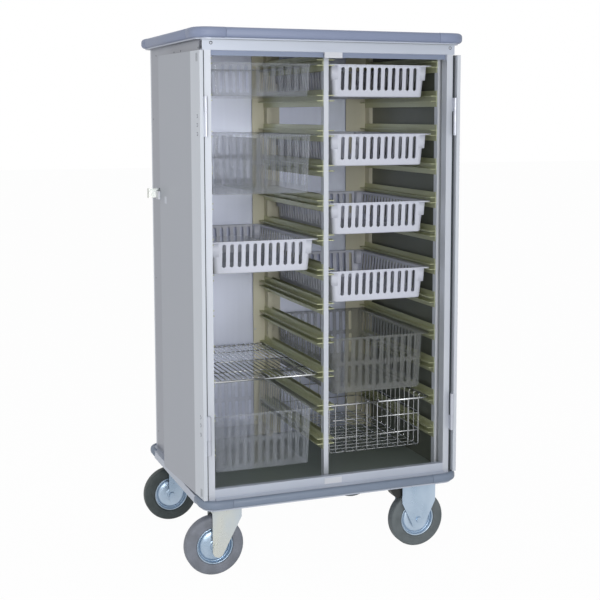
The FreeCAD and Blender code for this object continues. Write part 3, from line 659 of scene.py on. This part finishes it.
def slot_wall(bm, wall, rows):
    middle, normal = wall.calc_center_median(), wall.normal.copy()
    across = Vector((0, 0, 1)).cross(normal).normalized()
    up = normal.cross(across)
    lines = set(wall.edges)
    bmesh.ops.delete(bm, geom=[wall], context="FACES_ONLY")
    count = END_SLOTS if abs(normal.y) > 0.5 else SIDE_SLOTS
    for z0, z1 in rows:
        for i in range(count):
            at = middle + across * ((i - (count - 1) / 2) * PITCH)
            at = at + up * (((z0 + z1) / 2 - middle.z) / up.z)
            lines |= slot_loop(bm, at, across, up, (z1 - z0) / up.z)
    bmesh.ops.triangle_fill(bm, edges=list(lines), use_beauty=True, normal=normal)


print("slots in a row of a basket", 2 * (END_SLOTS + SIDE_SLOTS))

# %% [markdown]
# The tub starts as a cube whose uprights are bevelled and whose foot is narrowed. Its open top is
# then extruded edge by edge into the flange and its lip, as a moulder's drawing shows it.


# %% Basket tub
def tub(rim, drop, double):
    base, top = rim - drop, rim - RIM_DOWN
    bm = bmesh.new()
    made = bmesh.ops.create_cube(bm, size=2.0)["verts"]
    hx, hy = RIM_X - IN_SIDE, RIM_Y - IN_END
    bmesh.ops.scale(bm, vec=(hx, hy, 1), verts=made)
    uprights = [e for e in bm.edges if abs(e.verts[0].co.z - e.verts[1].co.z) > 1]
    bmesh.ops.bevel(bm, geom=uprights, offset=TUB_CORNER, segments=6, profile=0.5, affect="EDGES",
                    material=-1)
    low = [v for v in bm.verts if v.co.z < 0]
    high = [v for v in bm.verts if v.co.z > 0]
    lean = DRAFT / drop
    spread(low, -DRAFT, -DRAFT, base + 1)
    spread(high, -lean * RIM_DOWN, -lean * RIM_DOWN, top - 1)
    ends = sorted(bm.faces, key=lambda f: f.calc_center_median().z)
    bmesh.ops.bevel(bm, geom=list(ends[0].edges), offset=FOOT_CORNER, segments=3, profile=0.5,
                    affect="EDGES", material=-1)
    lid = max(bm.faces, key=lambda f: f.calc_center_median().z)
    bmesh.ops.delete(bm, geom=[lid], context="FACES_ONLY")
    z0, z1 = base + SLOT_FOOT, rim - SLOT_TOP
    low_end, high_start = (z0 + z1 - SLOT_BAND) / 2, (z0 + z1 + SLOT_BAND) / 2
    rows = [(z0, low_end), (high_start, z1)] if double else [(z0, z1)]
    bm.normal_update()
    walls = [f for f in bm.faces if abs(f.normal.z) < 0.3 and f.calc_area() > (drop - 20) * 200]
    for wall in walls:
        slot_wall(bm, wall, rows)
    edge = [e for e in bm.edges if e.is_boundary and min(v.co.z for v in e.verts) > top - 0.1]
    edge = grow(bm, edge, 0.8, 0.8, 1.9)
    edge = grow(bm, edge, 1.8, 1.8, 0.6)
    here = max(v.co.x for e in edge for v in e.verts), max(v.co.y for e in edge for v in e.verts)
    edge = grow(bm, edge, RIM_X - SHEET - here[0], RIM_Y - SHEET - here[1], 0.0)
    grow(bm, edge, 0.0, 0.0, -1.5)
    bmesh.ops.recalc_face_normals(bm, faces=bm.faces)
    floor = min(bm.faces, key=lambda f: f.calc_center_median().z)
    if floor.normal.z > 0:
        bmesh.ops.reverse_faces(bm, faces=bm.faces)
    return bm


# %% [markdown]
# A white basket is wider at the top of each corner, and the step under that shoulder rests on the
# basket below when they are stacked. Four bevelled boxes stand a little out of the tub there. To
# bend them out of the tub's own mesh would tear the slots beside them.

# %% Basket shoulders
SHOULDER_X = (150.0, 178.5)
SHOULDER_Y = (262.0, 292.0)
SHOULDER_DOWN = (51.0, 2.8)         # its foot and its top under the rim


def shoulders(rim):
    bm = bmesh.new()
    for sx in (-1, 1):
        for sy in (-1, 1):
            x0, x1 = sorted(sx * x for x in SHOULDER_X)
            y0, y1 = sorted(sy * y for y in SHOULDER_Y)
            add_box(bm, (x0, y0, rim - SHOULDER_DOWN[0]), (x1, y1, rim - SHOULDER_DOWN[1]))
    low = [v for v in bm.verts if v.co.z < rim - sum(SHOULDER_DOWN) / 2]
    spread(low, -2.0, -3.7)
    upright = [e for e in bm.edges if abs(e.verts[0].co.z - e.verts[1].co.z) > 1]
    bmesh.ops.bevel(bm, geom=upright, offset=6.0, segments=4, profile=0.5, affect="EDGES",
                     material=-1)
    return bm


print("a shoulder is", SHOULDER_DOWN[0] - SHOULDER_DOWN[1], "mm high")


# %% Baskets
def make_basket(node, look, double):
    low, high = box_mm(node)
    middle = ((low.x + high.x) / 2, (low.y + high.y) / 2, 0)
    bm = tub(high.z, high.z - low.z, double)
    bmesh.ops.translate(bm, vec=middle, verts=bm.verts)
    obj = piece(node + "_moulding", bm, look, node, False)
    sheet = obj.modifiers.new("sheet", "SOLIDIFY")
    sheet.thickness = SHEET * MM
    sheet.offset = -1
    sheet.use_even_offset = True
    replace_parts(obj, node)
    if look == "basket":
        bm = shoulders(high.z)
        bmesh.ops.translate(bm, vec=middle, verts=bm.verts)
        piece(node + "_shoulders", bm, look, node)
    print(node, look, len(obj.data.polygons), "faces")


for i in range(1, 5):
    make_basket("right_basket_%d" % i, "basket", False)
make_basket("right_basket_5", "smoke", True)
make_basket("left_basket_1", "clear", False)
make_basket("left_basket_2", "clear", True)
make_basket("left_basket_3", "basket", False)
make_basket("left_basket_4", "clear", True)

# %% [markdown]
# Each runner is a plate on its posts with two lips. The CAD has the lips and the web between them.
# The plate that reaches above and below the lips is what the eye sees of a runner, and it is added
# here as thin boxes with a fine bevel, one mesh for a whole group.

# %% Runner plates
PLATE_REACH = 17.5
LIPS = 21.0
LIP_UNDER_RIM = 7.3
FIRST_RIM, TIER = 524.0, 117.5


def runner_plates(name, x0, x1):
    low, high = box_mm(name)
    bm = bmesh.new()
    y0, y1 = low.y + 0.5, high.y - 0.5
    for tier in range(-1, 11):
        z = FIRST_RIM + TIER * tier - LIP_UNDER_RIM
        z0, z1 = z - PLATE_REACH, z + LIPS + PLATE_REACH
        for s in (-1, 1):
            a, b = sorted((s * x0, s * x1))
            add_box(bm, (a, y0, z0), (b, y1, z1))
    obj = piece(name + "_plates", bm, "runner", "cart_body", False)
    soften(obj, 0.5, 1)
    print(name, "plates", len(obj.data.polygons) // 6)


runner_plates("centre_runners", 8.6, 10.4)
runner_plates("wall_runners", 413.6, 415.4)

# %% [markdown]
# The wire basket and the wire shelf are bent from bright wire and welded where wires cross. A
# curve with a round bevel is the plain tool for wire of one thickness: each bend is a few points,
# and the curve then becomes a mesh. Cylinders joined end to end would show a notch at each bend.

# %% Wire helpers
WIRE_R = 1.75
FRAME_R = 3.5
RIM_Y0, RIM_Y1 = -262.0, 338.0
HOOP_X, HOOP_BEND = 195.5, 14
BEND_STEPS = 5


def rounded(points, r):
    pts = [Vector(p) for p in points]
    out = [pts[0]]
    for a, b, c in zip(pts, pts[1:], pts[2:]):
        p, q = b + (a - b).normalized() * r, b + (c - b).normalized() * r
        for i in range(BEND_STEPS):
            t = i / (BEND_STEPS - 1)
            out.append(p.lerp(b, t).lerp(b.lerp(q, t), t))
    return out + [pts[-1]]


def add_wire(curve, points, thick=WIRE_R, bend=0.0):
    points = rounded(points, bend) if bend else points
    spline = curve.splines.new("POLY")
    spline.points.add(len(points) - 1)
    for held, p in zip(spline.points, points):
        held.co = (p[0], p[1], p[2], 1.0)
        held.radius = thick / WIRE_R


def add_hoop(curve, cx, x, y0, y1, z, thick, bend):
    # Starts and ends in the middle of a side, a hair apart
    corners = [(cx, y0, z), (cx + x, y0, z), (cx + x, y1, z), (cx - x, y1, z), (cx - x, y0, z)]
    add_wire(curve, corners + [(cx + 0.01, y0, z)], thick, bend)


def wire_piece(name, curve, node):
    curve.dimensions = "3D"
    curve.bevel_depth = WIRE_R
    curve.bevel_resolution = 2
    curve.use_fill_caps = True
    held = bpy.data.objects.new("wires", curve)
    scene.collection.objects.link(held)
    graph = bpy.context.evaluated_depsgraph_get()
    mesh = bpy.data.meshes.new_from_object(held.evaluated_get(graph))
    bpy.data.objects.remove(held)
    bm = bmesh.new()
    bm.from_mesh(mesh)
    bmesh.ops.remove_doubles(bm, verts=bm.verts, dist=1e-3)
    bmesh.ops.recalc_face_normals(bm, faces=bm.faces)
    obj = piece(name, bm, "wire", node)
    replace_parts(obj, node)
    print(name, "wires", len(curve.splines), "faces", len(obj.data.polygons))


# %% [markdown]
# The basket is a heavy frame that carries U-shaped wires both ways, and two bands round its
# sides. Each U has an ear that lies over the frame.

# %% Wire basket
EAR_X, WALL_X = 197, 173.2
WIRE_PITCH = 40
CROSS_WIRES, CROSS_START = 14, 37.75
END_IN = 13.75
BAND_X, BAND_DOWN = 169.8, (64.75, 126.75)


def make_wire_basket():
    low, high = box_mm("wire_basket")
    cx, top, foot = (low.x + high.x) / 2, high.z - WIRE_R, low.z + WIRE_R
    curve = bpy.data.curves.new("wire_basket", "CURVE")
    add_hoop(curve, cx, HOOP_X, RIM_Y0 + FRAME_R, RIM_Y1 - FRAME_R, high.z - 2 * FRAME_R, FRAME_R,
             HOOP_BEND)
    shape = [(EAR_X, top), (WALL_X, top), (WALL_X, foot)]
    shape = [(-x, z) for x, z in shape] + shape[::-1]
    for i in range(CROSS_WIRES):
        y = RIM_Y0 + CROSS_START + i * WIRE_PITCH
        add_wire(curve, [(cx + x, y, z) for x, z in shape], bend=7)
    y0, y1, deck = RIM_Y0 + END_IN, RIM_Y1 - END_IN, foot + 2 * WIRE_R
    shape = [(RIM_Y0 + 2, top), (y0, top), (y0, deck), (y1, deck), (y1, top), (RIM_Y1 - 2, top)]
    for i in range(-4, 5):
        add_wire(curve, [(cx + i * WIRE_PITCH, y, z) for y, z in shape], bend=7)
    for down in BAND_DOWN:
        add_hoop(curve, cx, BAND_X, y0 + 3.5, y1 - 3.5, high.z - down, WIRE_R, 8)
    wire_piece("wire_basket_wires", curve, "wire_basket")


make_wire_basket()

# %% [markdown]
# The shelf is the same frame, with straight wires from front to rear on three ties.

# %% Wire shelf
TIE_Y = (-128.2, 39.8, 207.8)
SHELF_PITCH = 19.0


def make_wire_shelf():
    low, high = box_mm("wire_shelf")
    cx = (low.x + high.x) / 2
    curve = bpy.data.curves.new("wire_shelf", "CURVE")
    add_hoop(curve, cx, HOOP_X, RIM_Y0 + FRAME_R, RIM_Y1 - FRAME_R, low.z + FRAME_R, FRAME_R,
             HOOP_BEND)
    for y in TIE_Y:
        add_wire(curve, [(cx - 195, y, low.z + 5.25), (cx + 195, y, low.z + 5.25)])
    for i in range(-9, 10):
        x, z = cx + i * SHELF_PITCH, high.z - WIRE_R
        add_wire(curve, [(x, RIM_Y0 + 2.5, z), (x, RIM_Y1 - 2.5, z)])
    wire_piece("wire_shelf_wires", curve, "wire_shelf")


make_wire_shelf()

# %% [markdown]
# A wheel is a pressed zinc disc, with a hub, a groove and a rolled edge, under a grey rubber tyre
# with rounded shoulders and a shallow line on its side wall. Both are round about the axle, so
# half a section is mirrored and spun once. A lathe works the same way, and no other tool gives
# so even a circle with so few points to write.

# %% Wheels
WHEEL_MID_Z = 100.0
# Each point is (radius, distance from the wheel's middle plane)
DISC = [(6.05, 27), (14, 27), (15.5, 25.5), (15.5, 17.5), (22, 17), (36, 15.5), (46, 13),
        (50.5, 10.5), (52.5, 6.5), (54.5, 5.5), (56.2, 7.5), (57, 16), (58.5, 19), (61, 19.6),
        (62.5, 18)]
TREAD = [(62.6, 18), (64, 21), (67, 22.3), (72, 22.5), (74, 21.9), (76, 22.4), (86, 22.2),
         (90, 21.4)]
SHOULDER = [math.radians(a) for a in (20, 40, 60, 75, 90)]
TREAD += [(90 + 10 * math.sin(a), 11.4 + 10 * math.cos(a)) for a in SHOULDER]
DISC_STEPS, TREAD_STEPS = 96, 128


def both_sides(half):
    return half + [(r, -t) for r, t in reversed(half)]


def make_wheel(name, tyre_look):
    low, high = box_mm(name + "_tyre")
    centre = Vector(((low.x + high.x) / 2, (low.y + high.y) / 2, WHEEL_MID_Z))
    wheel = name + "_wheel"
    bm = bmesh.new()
    turned(bm, both_sides(DISC), centre, (0, 1, 0), DISC_STEPS)
    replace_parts(piece(name + "_disc", bm, "zinc", wheel), wheel + "_rim")
    bm = bmesh.new()
    turned(bm, both_sides(TREAD), centre, (0, 1, 0), TREAD_STEPS)
    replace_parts(piece(name + "_tread", bm, tyre_look, wheel), name + "_tyre")
    print(name, "wheel at", tuple(round(c) for c in centre))


for end in ("front", "rear"):
    make_wheel(end + "_swivel", "tyre_light" if end == "front" else "tyre_dark")
    make_wheel(end + "_fixed", "tyre")

# %% [markdown]
# The doors' hinge leaves are riveted through the stile. Each rivet is a flattened ball with a dark
# rim under it, which gives the thin shadow line that one sees round a rivet. A bump in the finish
# would be lighter, but it would vanish from the exported mesh. The rows are placed from the hinge
# pin on the folded door, so they ride with it.

# %% Door rivets
OPEN = math.radians(266.6)
PIVOT = Vector((440.0, -377.0, 0.0))
DOOR_T = 12.0
FACE_FROM_PIN = 7.0                 # the closed door's outer face, in front of the pin
RIVET_Z = (1525, 1497, 1469, 552, 525, 494)
RIVET_ACROSS, RIVET_R = 30, 5.0
MARK_Z = list(range(1698, 1723, 2)) + list(range(288, 313, 2))
MARK_ACROSS = (24, 34)


def on_door(side, across, out, z):
    # A point of the folded door: across from the hinge pin, out past its closed outer face
    turn = Matrix.Rotation(OPEN, 3, "Z") @ Vector((-across, FACE_FROM_PIN - out, 0.0))
    return Vector((side * (PIVOT.x + turn.x), PIVOT.y + turn.y, z))


def head_with_shadow_ring(bright, dark, at, along, radius):
    # The wider flat dark disc under the head is painted shadow round it
    screw_head(dark, at, along, radius + 1.5, 0.5)
    screw_head(bright, at, along, radius, radius * 0.4)


for side, name in ((-1, "left_door"), (1, "right_door")):
    inner = on_door(side, 50, -DOOR_T - 1, 0) - on_door(side, 50, -DOOR_T, 0)
    bright, dark = bmesh.new(), bmesh.new()
    for z in RIVET_Z:
        head_with_shadow_ring(bright, dark, on_door(side, RIVET_ACROSS, -DOOR_T, z), inner, RIVET_R)
    for across in MARK_ACROSS:
        for z in MARK_Z:
            screw_head(dark, on_door(side, across, -DOOR_T, z), inner, 1.6, 0.4)
    piece(name + "_hinge_rivets", bright, "hinge", name)
    # The dark piece holds the rivets' rings of painted shadow and the small dark marks
    piece(name + "_rivet_shadow_rings_and_marks", dark, "gap", name)
    print(name, "rivets", len(RIVET_Z), "marks", len(MARK_Z) * len(MARK_ACROSS))

# %% [markdown]
# The header is held by a screw at each end, and the side walls by small rivets along their top and
# rear edges.

# %% Frame screws and rivets
HEADER_X, HEADER_Y, HEADER_Z = (-416, 428), -357, 1755
WALL_X_FACE = 445
TOP_ROW_Y, TOP_ROW_Z = (-312, -95, -5, 255), 1741
REAR_COLUMN_Y, REAR_COLUMN_Z = 309, (340, 925, 1513)

bright, dark = bmesh.new(), bmesh.new()
for x in HEADER_X:
    head_with_shadow_ring(bright, dark, (x, HEADER_Y, HEADER_Z), (0, -1, 0), 4)
for s in (-1, 1):
    for y in TOP_ROW_Y:
        screw_head(dark, (s * WALL_X_FACE, y, TOP_ROW_Z), (s, 0, 0), 3.0, 0.8)
    for z in REAR_COLUMN_Z:
        screw_head(dark, (s * WALL_X_FACE, REAR_COLUMN_Y, z), (s, 0, 0), 2.6, 0.8)
piece("header_screws", bright, "hinge", "cart_body")
# The dark piece holds the wall rivets and the header screws' rings of painted shadow
piece("frame_rivets_and_screw_shadows", dark, "gap", "cart_body")
print("header screws", len(HEADER_X), "wall rivets", 2 * (len(TOP_ROW_Y) + len(REAR_COLUMN_Z)))

# %% [markdown]
# Two narrow strips finish the opening: the white edge of each side post, and a dark strip in the
# gap between the frame and a door, which is the door's seal and also painted shadow for the shade in
# that gap. Thin boxes are enough, because only one face of each is seen.

# %% Post edges, and door seals with painted gap shadow
bm = bmesh.new()
for low_x, high_x in ((-424, -417), (417, 424)):
    add_box(bm, (low_x, -293.2, 278), (high_x, -292.1, 1765))
piece("side_post_edges", bm, "white", "cart_body", False)

# The dark door strips are a seal and painted shadow of the gap between frame and door
bm = bmesh.new()
for low_x, high_x in ((-444.8, -439.6), (439.6, 444.8)):
    add_box(bm, (low_x, -358.0, 280), (high_x, -356.8, 1731))
seals = piece("door_seals_and_gap_shadow", bm, "gap", "cart_body", False)
print("seal length", round(seals.dimensions.z / MM), "mm")

# %% [markdown]
# Round-headed screws hold the rear sheet to the posts, seen through the empty runners.

# %% Rear screws
REAR_SCREW_X = (-405, -48, 48, 405)
REAR_SCREW_Z = (340, 700, 1060, 1420, 1700)

bm = bmesh.new()
for x in REAR_SCREW_X:
    for z in REAR_SCREW_Z:
        screw_head(bm, (x, 339, z), (0, -1, 0), 3.5, 1.2)
piece("rear_flange_screws", bm, "hinge", "cart_body")
print("rear screws", len(REAR_SCREW_X) * len(REAR_SCREW_Z))

# %% [markdown]
# The studio floor is a wide plane that glows white for the camera and for reflections and keeps a
# trace of shadow. To other rays it is a plain pale floor, so it lights the underside naturally.

# %% Floor
FLOOR_GLOW = 0.975
FLOOR_HALF = 30.0


def floor_material():
    m = Mat("studio_floor", 0.9)
    m.colour(m.mixed(srgb(250, 250, 252), srgb(254, 254, 255), m.noise(0.6, (1, 1, 1), detail=2)))
    plain = Sock(m, m.bsdf.outputs[0])
    share = FLOOR_GLOW * m.seen_rays()
    glow = m.add("ShaderNodeEmission", {}, {})
    both = m.add("ShaderNodeMixShader", {}, {0: share, 1: plain, 2: glow})
    m.tree.links.new(both.out, m.tree.nodes["Material Output"].inputs["Surface"])
    return m.mat


bm = bmesh.new()
bmesh.ops.create_grid(bm, x_segments=1, y_segments=1, size=FLOOR_HALF)
mesh = bpy.data.meshes.new("studio_floor")
bm.to_mesh(mesh)
bm.free()
ground = bpy.data.objects.new("studio_floor", mesh)
mesh.materials.append(floor_material())
scene.collection.objects.link(ground)
print("floor", 2 * FLOOR_HALF, "m wide")
